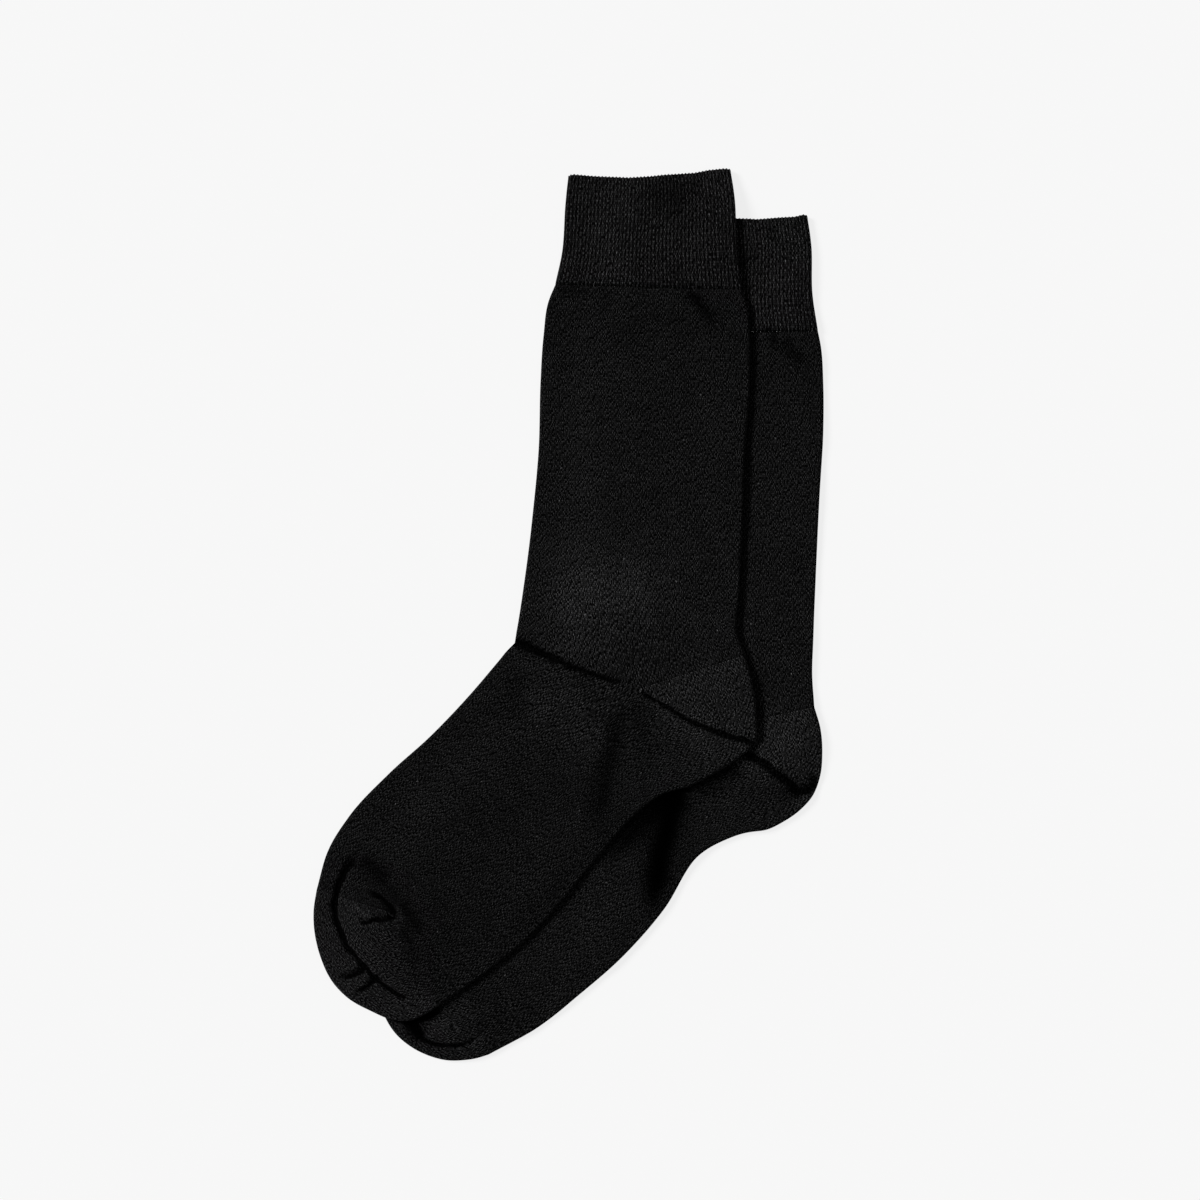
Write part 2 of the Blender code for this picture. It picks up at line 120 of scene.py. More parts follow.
UPPER = {
    "cuff": (
        ("top edge", 0.0, 220.0, 41.0, 218.0, 81.0, 223.0),
        ("upper rib", -1.5, 204.5, 41.0, 203.0, 83.0, 207.0),
        ("lower rib", -3.0, 182.0, 40.0, 181.5, 84.0, 184.0),
        ("hem", -6.0, 165.5, 40.0, 163.5, 86.0, 162.5),
    ),
    "top_edge": (
        (-1.0, -1.6), (0.5, -0.7), (2.5, -0.2), (11.0, -0.5), (30.0, -0.6), (41.0, 0.5), (49.0, 0.4),
        (63.0, -0.4), (70.0, 0.2), (78.0, 0.0), (80.3, -0.5), (82.0, -1.8),
    ),
    "leg": (
        ("below cuff", -6.5, 165.0, 40.0, 163.0, 86.3, 162.0),
        ("swell", -10.0, 156.5, 40.0, 154.0, 89.0, 154.5),
        ("calf", -12.5, 139.5, 39.0, 138.5, 90.5, 138.0),
        ("mid calf", -14.0, 116.5, 38.0, 115.5, 90.5, 114.5),
        ("low calf", -15.0, 82.0, 36.5, 81.0, 88.0, 79.5),
        ("shin", -18.0, 49.5, 34.0, 48.0, 87.0, 47.0),
        ("above ankle", -22.0, 17.0, 32.0, 12.0, 85.0, 7.0),
        ("ankle top", -25.0, -3.0, 33.0, -14.0, 84.0, -9.0),
        ("ankle lip", -26.5, -11.5, 34.0, -34.0, 87.3, -18.0),
        ("ankle", -27.0, -14.5, 34.5, -37.5, 88.0, -20.5),
    ),
    "foot": (
        ("ankle", -27.0, -14.5, 34.5, -37.5, 61.0, -86.0),
        ("below ankle", -29.5, -17.0, 31.5, -40.0, 59.0, -86.6),
        ("instep", -35.0, -23.5, 16.0, -54.0, 48.0, -89.5),
        ("arch", -49.0, -40.0, -4.0, -73.0, 33.0, -100.5),
        ("waist", -69.0, -61.0, -26.0, -94.0, 14.0, -122.0),
        ("ball", -90.0, -80.0, -47.0, -113.5, -6.0, -146.5),
        ("knuckles", -110.0, -101.5, -67.0, -134.0, -28.0, -168.5),
        ("toe roots", -121.0, -120.0, -80.0, -143.0, -49.0, -184.5),
        ("toe line", -126.0, -138.0, -88.0, -149.0, -66.0, -196.5),
    ),
    "heel_rim": (
        (88.0, -20.5), (91.5, -33.0), (93.5, -46.0), (94.0, -55.0), (94.0, -61.0), (93.0, -64.5),
        (90.5, -67.5), (85.5, -71.5), (74.0, -79.0), (61.0, -86.0),
    ),
    "toe_rim": (
        (-66.0, -196.5), (-71.0, -199.5), (-79.0, -203.0), (-88.0, -202.5), (-99.0, -198.0),
        (-110.0, -192.0), (-118.0, -184.0), (-124.0, -172.0), (-127.0, -160.0), (-127.5, -148.0),
        (-126.0, -138.0),
    ),
    "swells": (
        ("front of the ankle", 8.0, -8.0, 36.0, 15.0, -20.0, 1.8),
        ("below the ankle", -2.0, -54.0, 32.0, 18.0, -35.0, 1.0),
        ("upper heel", 74.0, -38.0, 24.0, 11.0, -15.0, 2.4),
        ("lower heel", 64.0, -65.0, 22.0, 12.0, -24.0, 1.6),
        ("between the troughs", 31.0, -64.0, 18.0, 4.5, -75.0, 0.9),
        ("toe lobe", -93.0, -165.0, 24.0, 13.0, -60.0, 2.2),
        ("toe rim", -120.0, -160.0, 30.0, 6.0, -80.0, 1.0),
        ("toe end", -104.0, -190.0, 20.0, 7.0, -32.0, 1.0),
        ("pucker ridge", -102.5, -148.0, 6.5, 1.5, -32.0, 1.0),
        ("sole edge", 8.0, -130.0, 62.0, 7.0, 45.0, -0.8),
        ("pucker lip", -83.0, -150.5, 6.0, 1.8, -70.0, 0.5),
    ),
    "folds": (
        ("ankle", 3.6, 2.7, 1.2, 0.0, 0.18, ((-29.0, -12.5), (-24.5, -14.3), (-13.8, -19.3), (3.3, -26.8),
                                             (20.8, -32.8), (31.0, -35.3))),
        ("gore", 3.8, 0.8, 1.7, 0.06, 0.02, ((36.5, -39.2), (49.3, -46.5), (58.8, -52.3), (68.3, -56.5),
                                             (78.8, -60.5), (88.5, -63.3), (93.5, -64.5))),
        ("heel trough", 1.2, 3.0, 6.5, 0.25, 0.30, ((26.3, -42.5), (22.8, -62.0), (16.3, -88.0),
                                                    (14.8, -102.0), (18.3, -113.5))),
        ("gore trough", 0.8, 2.0, 2.6, 0.15, 0.45, ((33.3, -42.5), (37.3, -55.5), (41.3, -71.0))),
        ("toe", 4.2, 1.6, 0.9, 0.20, 0.06, ((-102.0, -116.5), (-106.8, -122.0),
                                            (-110.3, -126.0), (-113.3, -132.0), (-115.8, -139.0),
                                            (-116.8, -146.0), (-115.8, -153.0), (-112.8, -160.0),
                                            (-110.3, -166.0), (-104.8, -172.0), (-101.3, -176.0),
                                            (-96.3, -181.5), (-91.3, -185.5), (-85.8, -189.0),
                                            (-79.0, -193.0))),
        ("rim tuck", 3.0, 1.4, 1.9, 0.35, 0.0, ((-115.5, -181.0), (-111.0, -181.6), (-106.0, -179.8),
                                                (-101.5, -176.5))),
        ("second rim tuck", 2.4, 1.0, 1.4, 0.40, 0.0, ((-107.5, -190.5), (-102.0, -187.2),
                                                       (-97.5, -183.5), (-95.5, -181.0))),
        ("toe crease's head", 1.8, 2.6, 2.0, 0.3, 0.4, ((-105.0, -120.0), (-110.0, -127.0),
                                                        (-114.0, -134.0))),
        ("pucker", 2.8, 1.2, 1.8, 0.25, 0.10, ((-101.3, -137.5), (-96.5, -140.0), (-90.5, -144.5),
                                               (-87.3, -148.5), (-87.3, -152.0))),
        ("pucker hook", 2.4, 1.5, 1.1, 0.0, 0.25, ((-87.3, -151.5), (-91.0, -153.0), (-96.0, -152.6),
                                                   (-100.5, -154.2), (-105.5, -152.0))),
        ("toe line trough", 0.9, 2.0, 2.0, 0.15, 0.35, ((-82.5, -143.5), (-77.0, -151.5), (-72.0, -162.0))),
        ("toe patch trough", 0.5, 2.2, 2.6, 0.2, 0.35, ((-84.5, -155.0), (-79.8, -163.0), (-75.8, -177.0),
                                                        (-70.0, -191.0))),
        ("cuff wrinkle", 1.4, 2.6, 2.2, 0.05, 0.50, ((60.5, 162.0), (64.8, 155.0), (70.5, 148.0),
                                                     (74.5, 138.0))),
        ("cuff seam", 0.6, 0.55, 0.55, 0.0, 0.0, ((-9.0, 165.3), (40.0, 163.2), (89.0, 162.2))),
    ),
    # Painted shade in the troughs, hollows, wrinkles and gathers, and painted highlights over the ankle, on
    # the foot and on ridges
    "painted_shades_and_highlights": (
        ("below the cuff", 0.14, 22.0, 22.0, 0.0, 0.0, ((5.0, 148.0), (75.0, 148.0))),
        ("front of the foot", 0.30, 6.0, 7.0, 0.2, 0.3, ((-25.0, -26.0), (-26.0, -41.0), (-30.0, -58.0))),
        ("top of the foot", -0.35, 14.0, 14.0, 0.0, 0.0, ((-6.0, -48.0), (10.0, -60.0))),
        ("foot", 0.14, 48.0, 40.0, 0.0, 0.0, ((-30.0, -75.0), (-60.0, -150.0))),
        ("sole side of the foot", 0.14, 14.0, 14.0, 0.1, 0.0, ((40.0, -100.0), (8.0, -132.0),
                                                               (-40.0, -182.0))),
        ("over the ankle", -0.90, 21.0, 19.0, 0.0, 0.0, ((12.0, 10.0), (26.0, 10.0))),
        ("along the ankle", -0.18, 10.0, 10.0, 0.2, 0.2, ((-10.0, -12.0), (30.0, -26.0))),
        ("above the heel", -0.09, 15.0, 13.0, 0.0, 0.0, ((66.0, 22.0), (70.0, -6.0))),
        ("dent in the cuff", 0.46, 7.0, 7.0, 0.0, 0.0, ((45.0, 210.0), (57.0, 209.0))),
        ("heel trough", 0.58, 3.5, 7.5, 0.15, 0.3, ((28.3, -42.5), (24.3, -62.0), (18.3, -88.0),
                                                   (16.3, -102.0), (20.3, -113.5))),
        ("gore trough", 0.35, 2.0, 3.0, 0.15, 0.45, ((34.3, -42.5), (38.3, -55.5), (42.3, -71.0))),
        ("cuff wrinkle", 0.60, 3.2, 2.6, 0.05, 0.45, ((61.5, 161.0), (65.8, 155.0), (71.5, 148.0),
                                                      (75.0, 138.0))),
        ("gather", 0.35, 2.5, 2.5, 0.0, 0.0, ((-3.0, 161.0), (7.0, 161.0))),
        ("second gather", 0.30, 3.0, 3.0, 0.0, 0.0, ((18.0, 161.0), (18.3, 152.0))),
        ("toe hollow", 0.68, 6.0, 5.6, 0.0, 0.0, ((-101.0, -124.5), (-94.5, -130.0))),
        ("beside the pucker", 0.35, 2.4, 2.4, 0.0, 0.2, ((-93.0, -134.0), (-87.5, -140.0), (-84.0, -146.0))),
        ("toe line", 0.50, 2.6, 2.6, 0.1, 0.3, ((-82.5, -143.5), (-77.0, -151.5), (-72.0, -162.0))),
        ("toe patch", 0.30, 2.6, 3.2, 0.1, 0.2, ((-84.5, -155.0), (-79.8, -163.0), (-75.8, -177.0),
                                                 (-68.0, -194.0))),
        ("toe", 0.22, 34.0, 34.0, 0.0, 0.0, ((-92.0, -160.0), (-104.0, -186.0))),
        ("toe rim", 0.13, 6.0, 6.0, 0.0, 0.0, ((-122.0, -144.0), (-122.0, -168.0))),
        ("toe end", -0.13, 5.0, 5.0, 0.0, 0.0, ((-93.0, -196.0), (-75.0, -197.5))),
        ("pucker ridge", -0.9, 0.9, 0.9, 0.2, 0.2, ((-109.0, -144.5), (-103.3, -148.0), (-97.3, -151.3))),
        ("pucker lip", -0.5, 1.2, 1.2, 0.2, 0.2, ((-84.3, -146.0), (-82.0, -154.5))),
    ),
}

LOWER = {
    "cuff": (
        ("top edge", 38.0, 197.0, 78.0, 197.0, 119.5, 200.0),
        ("upper rib", 36.0, 182.0, 79.0, 181.0, 121.5, 184.0),
        ("lower rib", 35.0, 160.5, 78.0, 159.5, 122.0, 161.0),
        ("hem", 32.0, 143.0, 78.0, 141.5, 124.5, 142.0),
    ),
    "top_edge": (
        (37.5, -1.5), (40.0, -0.4), (60.0, 0.3), (78.0, 0.4), (85.0, 0.3), (94.0, -0.9), (105.0, -0.8),
        (113.0, -1.0), (117.5, -0.2), (119.0, -0.7), (120.5, -1.9),
    ),
    "leg": (
        ("below cuff", 31.5, 142.5, 78.0, 141.0, 124.8, 141.5),
        ("swell", 28.0, 134.0, 77.0, 133.0, 126.3, 134.0),
        ("calf", 25.0, 117.0, 77.0, 116.5, 127.5, 116.0),
        ("mid calf", 24.0, 94.0, 76.0, 93.5, 127.5, 92.0),
        ("low calf", 22.0, 59.5, 74.0, 58.5, 125.5, 57.0),
        ("shin", 19.0, 27.0, 72.0, 25.5, 124.0, 24.5),
        ("above ankle", 16.0, -5.5, 69.0, -10.0, 122.5, -13.0),
        ("ankle top", 13.0, -24.0, 67.0, -36.0, 122.0, -31.0),
        ("ankle lip", 10.5, -33.0, 67.5, -55.5, 122.8, -43.5),
        ("ankle", 10.0, -36.0, 68.0, -58.5, 123.0, -46.5),
    ),
    "foot": (
        ("ankle", 10.0, -36.0, 68.0, -58.5, 92.0, -109.0),
        ("below ankle", 7.5, -38.5, 65.0, -61.0, 90.0, -109.3),
        ("instep", 2.0, -46.0, 48.0, -76.0, 81.0, -112.0),
        ("arch", -13.0, -61.5, 29.0, -94.5, 64.5, -121.5),
        ("waist", -33.0, -82.0, 9.0, -115.5, 48.0, -147.5),
        ("ball", -54.0, -101.5, -13.0, -135.5, 28.0, -170.5),
        ("knuckles", -73.0, -122.5, -34.0, -155.5, 6.0, -190.0),
        ("toe roots", -88.0, -142.5, -48.0, -166.0, -17.0, -208.0),
        ("toe line", -96.0, -160.5, -58.0, -171.5, -40.0, -220.5),
    ),
    "heel_rim": (
        (123.0, -46.5), (126.0, -57.0), (127.0, -69.0), (126.0, -81.0), (122.5, -90.5),
        (116.0, -98.0), (107.5, -104.0), (99.0, -108.0), (92.0, -109.0),
    ),
    "toe_rim": (
        (-40.0, -220.5), (-46.0, -222.3), (-53.0, -223.3), (-61.0, -223.3), (-70.0, -221.0),
        (-79.0, -216.5), (-87.0, -209.5), (-92.0, -201.5), (-95.0, -193.0), (-97.5, -182.0),
        (-98.0, -171.0), (-96.0, -160.5),
    ),
    "swells": (
        ("upper heel", 114.0, -66.0, 12.0, 16.0, -35.0, 1.6),
        ("lower heel", 92.0, -92.0, 18.0, 10.0, 20.0, 2.0),
        ("arch", 22.0, -152.0, 42.0, 12.0, 42.0, 0.8),
        ("arch lobe", 30.0, -126.0, 14.0, 7.0, 35.0, 1.0),
        ("toe lobe", -58.0, -206.0, 14.0, 6.0, 5.0, 1.8),
        ("toe end", -62.0, -219.0, 24.0, 4.5, 0.0, 0.6),
    ),
    "folds": (
        ("gore", 3.4, 2.0, 2.3, 0.0, 0.05, ((84.0, -66.0), (90.5, -70.7), (96.8, -74.0), (101.0, -77.0),
                                            (106.3, -81.3), (111.7, -85.5), (114.0, -88.8), (117.0, -90.0))),
        ("gore hook", 2.8, 2.2, 1.5, 0.0, 0.45, ((115.0, -89.5), (119.5, -88.3), (122.2, -86.0),
                                                 (123.0, -81.3), (121.2, -77.0))),
        ("arch valley", 0.95, 9.0, 5.0, 0.0, 0.2, ((52.8, -86.0), (50.3, -98.0), (49.3, -108.0),
                                                   (46.3, -118.0), (45.3, -128.0), (43.3, -138.0),
                                                   (41.3, -147.0))),
        ("beside the upper sock", 1.05, 3.0, 3.4, 0.0, 0.0, ((85.0, 207.0), (86.0, 173.0), (89.8, 160.0),
                                                             (90.5, 140.0), (88.6, 74.0), (86.0, 7.0),
                                                             (86.5, -13.0), (94.3, -41.0), (95.5, -62.0))),
        ("toe pit", 3.2, 2.6, 3.2, 0.1, 0.1, ((-80.0, -202.0), (-77.3, -205.5), (-75.8, -209.5),
                                              (-73.5, -212.3))),
        ("toe", 3.0, 1.4, 0.6, 0.0, 0.40, ((-77.0, -209.0), (-71.5, -213.3), (-66.3, -215.3),
                                           (-56.8, -216.0), (-50.0, -214.5), (-45.0, -211.5),
                                           (-40.5, -207.5))),
        ("toe wedge", 2.6, 1.1, 3.4, 0.0, 0.28, ((-90.0, -202.7), (-79.0, -203.0), (-70.0, -200.8),
                                                 (-62.0, -197.0))),
        ("toe lobe tuck", 1.2, 0.9, 0.9, 0.2, 0.2, ((-58.8, -205.0), (-55.5, -209.5))),
        ("cuff wrinkle", 1.2, 3.0, 2.6, 0.05, 0.40, ((109.0, 137.0), (113.0, 130.0), (120.8, 121.5))),
        ("cuff gather", 0.9, 2.2, 2.2, 0.0, 0.40, ((103.3, 142.0), (103.3, 134.5))),
        ("cuff seam", 0.6, 0.55, 0.55, 0.0, 0.0, ((29.0, 142.9), (78.0, 141.3), (127.0, 141.8))),
    ),
    # Painted shade in the arch valley, in the shadow along and under the upper sock, in the toe's pit and in
    # wrinkles, and a few painted highlights
    "painted_shades_and_highlights": (
        ("cuff", -0.09, 20.0, 20.0, 0.0, 0.0, ((101.0, 186.0), (106.0, 158.0))),
        ("below the cuff", 0.14, 20.0, 20.0, 0.0, 0.0, ((90.0, 128.0), (122.0, 128.0))),
        ("arch valley's core", 0.90, 5.8, 4.4, 0.0, 0.30, ((52.5, -86.0), (51.3, -98.0), (49.5, -108.0),
                                                          (46.0, -122.0), (43.5, -136.0), (39.0, -156.0))),
        ("arch valley", 0.90, 9.5, 6.5, 0.0, 0.3, ((53.5, -86.0), (50.8, -98.0), (49.3, -108.0),
                                                   (46.5, -118.0), (45.3, -128.0), (43.3, -138.0),
                                                   (40.3, -150.0))),
        ("arch hollow", 0.86, 8.0, 4.0, 0.1, 0.4, ((60.0, -88.5), (47.0, -95.5), (38.5, -102.5),
                                                   (31.0, -111.0), (22.5, -120.5), (13.0, -129.5))),
        ("under the heel", 0.60, 4.5, 3.5, 0.0, 0.2, ((68.0, -87.0), (80.0, -79.5), (90.0, -79.5))),
        ("sole side of the heel", 0.38, 8.0, 7.0, 0.0, 0.0, ((95.0, -88.0), (108.0, -92.0))),
        ("gore's end", 0.55, 5.0, 4.0, 0.0, 0.0, ((112.0, -86.0), (119.0, -86.0))),
        ("cuff wrinkle", 0.45, 3.5, 3.5, 0.0, 0.0, ((111.0, 134.0), (118.5, 125.0))),
        ("cuff gather", 0.45, 2.5, 2.5, 0.0, 0.0, ((103.3, 139.5), (103.3, 135.5))),
        ("toe", 0.32, 34.0, 34.0, 0.0, 0.0, ((-66.0, -190.0), (-64.0, -212.0))),
        ("toe pit", 0.80, 3.8, 3.6, 0.0, 0.1, ((-81.0, -203.0), (-75.5, -208.5), (-72.0, -212.0))),
        ("toe wedge", 0.90, 3.2, 3.2, 0.0, 0.2, ((-80.0, -203.5), (-72.0, -201.0), (-62.5, -196.5))),
        ("toe lobe", -0.35, 4.0, 3.0, 0.0, 0.0, ((-66.0, -207.5), (-56.0, -207.0))),
    ),
}


# ---------- Curves and heights ----------
def curve(points, knots, at):
    """A smooth curve through every point, read at the given places along its knots."""
    tangents = np.gradient(points, knots, axis=0)
    index = np.clip(np.searchsorted(knots, at, side="right") - 1, 0, len(knots) - 2)
    shape = (-1,) + (1,) * (points.ndim - 1)
    span = (knots[index + 1] - knots[index]).reshape(shape)
    step = (at - knots[index]).reshape(shape) / span
    start = (1 + 2 * step) * (1 - step) ** 2 * points[index]
    end = step ** 2 * (3 - 2 * step) * points[index + 1]
    leave = step * (1 - step) ** 2 * span * tangents[index]
    arrive = step ** 2 * (step - 1) * span * tangents[index + 1]
    return start + end + leave + arrive


def by_column(rows, columns):
    """Each row of a table as a dictionary of its columns."""
    return [dict(zip(columns, row)) for row in rows]


def section_array(rows):
    """Instep edge, middle and sole edge of each section, in metres."""
    table = by_column(rows, SECTION_COLUMNS)
    return np.array([[[row[name] for name in point] for point in SECTION_POINTS] for row in table]) * MM


def knots_of(points):
    """Distances along a run of points."""
    return np.concatenate(([0.0], np.cumsum(np.linalg.norm(np.diff(points, axis=0), axis=1))))


def even_places(length, step, multiple=1):
    """Places along a length about a step apart, with both ends, in a multiple of so many cells."""
    cells = max(1, round(length / step / multiple)) * multiple
    return np.linspace(0.0, length, cells + 1)


def lengthwise(sections, step):
    """Sections a step apart along a tube, and how far along it each one is."""
    knots = knots_of(sections.mean(axis=1))
    places = even_places(knots[-1], step, INNER_ROW_SKIP)
    return curve(sections, knots, places), places


def around_rim(rim, step):
    """Points a step apart along a pocket's folded edge, and how far along it each one is."""
    rim = np.asarray(rim) * MM
    knots = knots_of(rim)
    places = even_places(knots[-1], step, INNER_ROW_SKIP)
    return curve(rim, knots, places), places


def left_of(start, end):
    """Unit vector across a half section, towards the cuff for one that runs from instep to sole."""
    run = (end - start) / np.linalg.norm(end - start)
    return np.array((-run[1], run[0]))


def moved_across(section, distance):
    """A section moved sideways by a distance, towards the cuff where it is positive."""
    instep_side = left_of(section[0], section[1])
    sole_side = left_of(section[1], section[2])
    corner = (instep_side + sole_side) / (1 + instep_side @ sole_side)
    return section + distance * np.array((instep_side, corner, sole_side))


def distance_to_path(points, path):
    """How far each point is from a path, and how far along it its nearest point lies, from 0 to 1."""
    knots = knots_of(path)
    nearest = np.full(len(points), np.inf)
    along = np.zeros(len(points))
    for index in range(len(path) - 1):
        length = knots[index + 1] - knots[index]
        run = (path[index + 1] - path[index]) / length
        reach = np.clip((points - path[index]) @ run, 0.0, length)
        gap = np.linalg.norm(points - path[index] - reach[:, None] * run, axis=1)
        closer = gap < nearest
        nearest[closer] = gap[closer]
        along[closer] = ((knots[index] + reach) / knots[-1])[closer]
    return nearest, along


def inside(points, outline):
    """Which points lie inside a closed outline."""
    crossings = np.zeros(len(points), dtype=int)
    for start, end in zip(outline, np.roll(outline, -1, axis=0)):
        spans = (start[1] > points[:, 1]) != (end[1] > points[:, 1])
        rise = end[1] - start[1]
        if rise:
            meets = start[0] + (points[:, 1] - start[1]) / rise * (end[0] - start[0])
            crossings += spans & (points[:, 0] < meets)
    return crossings % 2 == 1


def ease(value):
    """A soft step from 0 to 1."""
    value = np.clip(value, 0.0, 1.0)
    return value * value * (3 - 2 * value)


def fading(along, fade_in, fade_out):
    """How much of a fold is there at each place along it."""
    comes = ease(along / fade_in) if fade_in else 1.0
    goes = ease((1 - along) / fade_out) if fade_out else 1.0
    return comes * goes


def trace(points, line, flatness):
    """How strongly a fold or shade acts on each point, from 0 to 1."""
    path = np.asarray(line["path"]) * MM
    knots = knots_of(path)
    if len(path) > 2:
        path = curve(path, knots, even_places(knots[-1], PATH_STEP))
    widest = max(line["start_width"], line["end_width"]) * MM
    reach = TRACE_REACH * widest
    near = np.all((points > path.min(axis=0) - reach) & (points < path.max(axis=0) + reach), axis=1)
    strength = np.zeros(len(points))
    if near.any():
        gap, along = distance_to_path(points[near], path)
        gap = np.maximum(gap + uneven(points[near], RAGGED_WAVES, RAGGED_SLOPE), 0.0)
        width = (line["start_width"] + (line["end_width"] - line["start_width"]) * along) * MM
        fade = fading(along, line["fade_in"], line["fade_out"])
        strength[near] = np.exp(-(gap / width) ** flatness) * fade
    return strength


def swelling(points, sock):
    """Extra thickness of a sock where its pockets and bends stand up."""
    total = np.zeros(len(points))
    for swell in by_column(sock["swells"], SWELL_COLUMNS):
        turn = math.radians(swell["turn"])
        offset = points - np.array((swell["x"], swell["y"])) * MM
        along = offset @ np.array((math.cos(turn), math.sin(turn))) / (swell["along"] * MM)
        across = offset @ np.array((-math.sin(turn), math.cos(turn))) / (swell["across"] * MM)
        total += swell["height"] * MM * np.exp(-along ** 2 - across ** 2)
    return total


def folding(points, sock):
    """How deep the folds press into a sock."""
    total = np.zeros(len(points))
    for fold in by_column(sock["folds"], FOLD_COLUMNS):
        depth = fold["depth"] * MM
        total = np.maximum(total, depth * trace(points, fold, FOLD_FLATNESS))
    return total


def uneven(points, lengths, slope):
    """A soft random height, made of waves that run every way."""
    chance = np.random.default_rng(SEED)
    total = np.zeros(len(points))
    for _ in range(WAVES):
        length = np.exp(chance.uniform(*np.log(lengths)))
        turn = chance.uniform(0.0, math.pi)
        phase = chance.uniform(0.0, 2 * math.pi)
        wave = 2 * math.pi / length
        run = points @ np.array((math.cos(turn), math.sin(turn)))
        total += slope / wave * np.sin(wave * run + phase)
    return total


def thickness(points, sock, flat):
    """Height of a sock's top layer above its underside."""
    tall = flat + swelling(points, sock) + uneven(points, SOFT_WAVES, SOFT_SLOPE) - folding(points, sock)
    return THINNEST + np.logaddexp(0.0, (tall - THINNEST) / SOFTEST) * SOFTEST


def painted_shading(points, sock):
    """Painted shade and painted highlights: the share of plain open cloth's colour that each point is
    painted.
    """
    # Painted shade deep in the folds, then each painted shade or highlight of the table
    kept = 1 - FOLD_PAINTED_SHADE * ease((folding(points, sock) - FOLD_DARKENS) / FOLD_DARK_RUN)
    for shade in by_column(sock["painted_shades_and_highlights"], SHADE_COLUMNS):
        kept *= 1 - shade["loss"] * trace(points, shade, SHADE_FLATNESS)
    return kept


def outline(sock):
    """The outline of a sock laid flat, as one closed loop."""
    tubes = (section_array(sock[part]) for part in ("cuff", "leg", "foot"))
    cuff, leg, foot = (lengthwise(sections, OUTLINE_STEP)[0] for sections in tubes)
    heel_rim, toe_rim = (around_rim(sock[part], OUTLINE_STEP)[0] for part in ("heel_rim", "toe_rim"))
    sole_side = np.concatenate((cuff[:, 2], leg[:, 2], heel_rim[1:], foot[1:, 2], toe_rim[1:-1]))
    instep_side = np.concatenate((cuff[:, 0], leg[:, 0], foot[1:, 0]))
    return np.concatenate((sole_side, instep_side[::-1]))


def underside(points, sock, support, lift):
    """Height of a sock's underside: the plane, or the sock that it lies on."""
    lift = lift + CREASE_LIFT * ease(folding(points, sock) / DEEPEST_FOLD)
    if support is None:
        return lift
    edge = outline(support)
    outside, _ = distance_to_path(points, np.concatenate((edge, edge[:1])))
    outside[inside(points, edge)] = 0.0
    held = ease(1 - (outside - DRAPE_HELD) / DRAPE_FALL)
    below = FLAT + swelling(points, support) + CLEARANCE
    hem = section_array(support["cuff"])[-1, :, 1].mean()
    below += (CUFF_FLAT - FLAT) * ease((points[:, 1] - hem) / CUFF_CLIMB + 1)
    return lift + held * below


# ---------- Cloth ----------
def half_layer(inner, rim, places, side, sock, support, flat, lift):
    """Points of half a layer for many sections at once.

    inner and rim are (rows, 2), places run from 0 at the rim to 1 at the middle, and side is 1 for
    the top layer and -1 for the one beneath. Places are spread by length over the folded edge.
    """
    run = inner - rim
    length = np.linalg.norm(run, axis=1)
    radius = thickness(rim, sock, flat) / 2
    bend = radius * math.pi / 2
    gone = places[None, :] * (bend + length - radius)[:, None]
    angle = np.minimum(gone / radius[:, None], math.pi / 2)
    reach = radius[:, None] * (1 - np.cos(angle)) + np.maximum(gone - bend[:, None], 0.0)
    plan = rim[:, None] + (reach / length[:, None])[..., None] * run[:, None]
    flat_plan = plan.reshape(-1, 2)
    tall = thickness(flat_plan, sock, flat).reshape(reach.shape)
    low = underside(flat_plan, sock, support, lift).reshape(reach.shape)
    height = low + tall / 2 * (1 + side * np.sin(angle))
    return np.concatenate((plan, height[..., None]), axis=2)


def ring_grid(sections, top, bottom, shape):
    """Closed rings over the top from instep to sole and back beneath, with each column's wale."""
    instep, middle, sole = sections[:, 0], sections[:, 1], sections[:, 2]
    grid = np.concatenate((
        half_layer(middle, instep, top, 1, *shape)[:, :-1],
        half_layer(middle, sole, top, 1, *shape)[:, ::-1],
        half_layer(middle, sole, bottom, -1, *shape)[:, 1:-1],
        half_layer(middle, instep, bottom, -1, *shape)[:, :0:-1],
    ), axis=1)
    wales = np.concatenate((top[:-1], 2 - top[::-1], 2 + bottom[1:-1], 4 - bottom[:0:-1])) * WALES_HALF
    return grid, wales


def fan_grid(inner, rim, top, bottom, shape):
    """Half sections over the top to the rim and back beneath, with each column's wale."""
    over = half_layer(inner, rim, top, 1, *shape)[:, ::-1]
    under = half_layer(inner, rim, bottom, -1, *shape)[:, 1:]
    wales = np.concatenate((1 - top[::-1], 1 + bottom[1:])) * WALES_HALF
    return np.concatenate((over, under), axis=1), wales


def outward(grid, closed, top_columns):
    """Unit normals of a grid of points, out of the cloth."""
    if closed:
        wrapped = np.concatenate((grid[:, -1:], grid, grid[:, :1]), axis=1)
        across = wrapped[:, 2:] - wrapped[:, :-2]
    else:
        across = np.gradient(grid, axis=1)
    normal = np.cross(np.gradient(grid, axis=0), across)
    normal /= np.maximum(np.linalg.norm(normal, axis=2, keepdims=True), SHORTEST)
    normal[:, :top_columns][normal[:, :top_columns, 2] < -STEEPEST] *= -1
    normal[:, top_columns:][normal[:, top_columns:, 2] > STEEPEST] *= -1
    return normal


def lowest_near(height, reach, axis):
    """Each height's lowest neighbour within reach along an axis."""
    count = height.shape[axis]
    lowest = height.copy()
    for step in range(-reach, reach + 1):
        moved = np.take(height, np.clip(np.arange(count) + step, 0, count - 1), axis=axis)
        lowest = np.minimum(lowest, moved)
    return lowest


